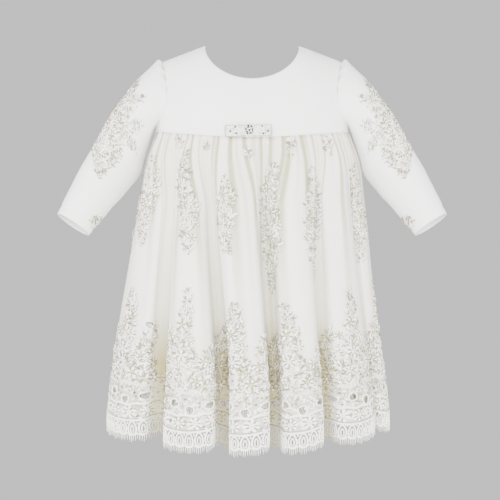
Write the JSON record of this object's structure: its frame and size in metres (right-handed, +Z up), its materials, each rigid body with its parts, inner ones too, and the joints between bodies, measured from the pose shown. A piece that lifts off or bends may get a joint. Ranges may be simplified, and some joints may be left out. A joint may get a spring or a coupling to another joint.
{
  "type": "christening gown",
  "caption": "Infant christening gown filled out as worn: round neck, long sleeves, high waist with a flat bow, gathered net skirt, and a scalloped cutwork lace hem.",
  "frame": {"origin": "midway between the two neck points of the shoulder seams, where the gown is held up", "axes": "+Z up, -Y out of the gown's front, +X towards the wearer's left"},
  "size_m": [0.4952, 0.2615, 0.519],
  "materials": {
    "satin": "satin",
    "net": "matte",
    "lining_satin": "satin",
    "lace": "matte",
    "ribbon": "satin",
    "pearl": "gloss"
  },
  "bodies": {
    "root": {"yoke_front": "satin", "yoke_back_left": "satin", "yoke_back_right": "satin", "sleeve_left": "satin", "sleeve_right": "satin", "skirt_front": "net", "skirt_back": "net", "lining_front": "lining_satin", "lining_back": "lining_satin", "hem_lace_front": "lace", "hem_lace_back": "lace", "hem_fringe_front": "lace", "hem_fringe_back": "lace", "bow_loop_left": "ribbon", "bow_loop_right": "ribbon", "bow_knot": "ribbon", "button_1": "pearl", "button_2": "pearl", "button_3": "pearl"}
  },
  "joints": []
}
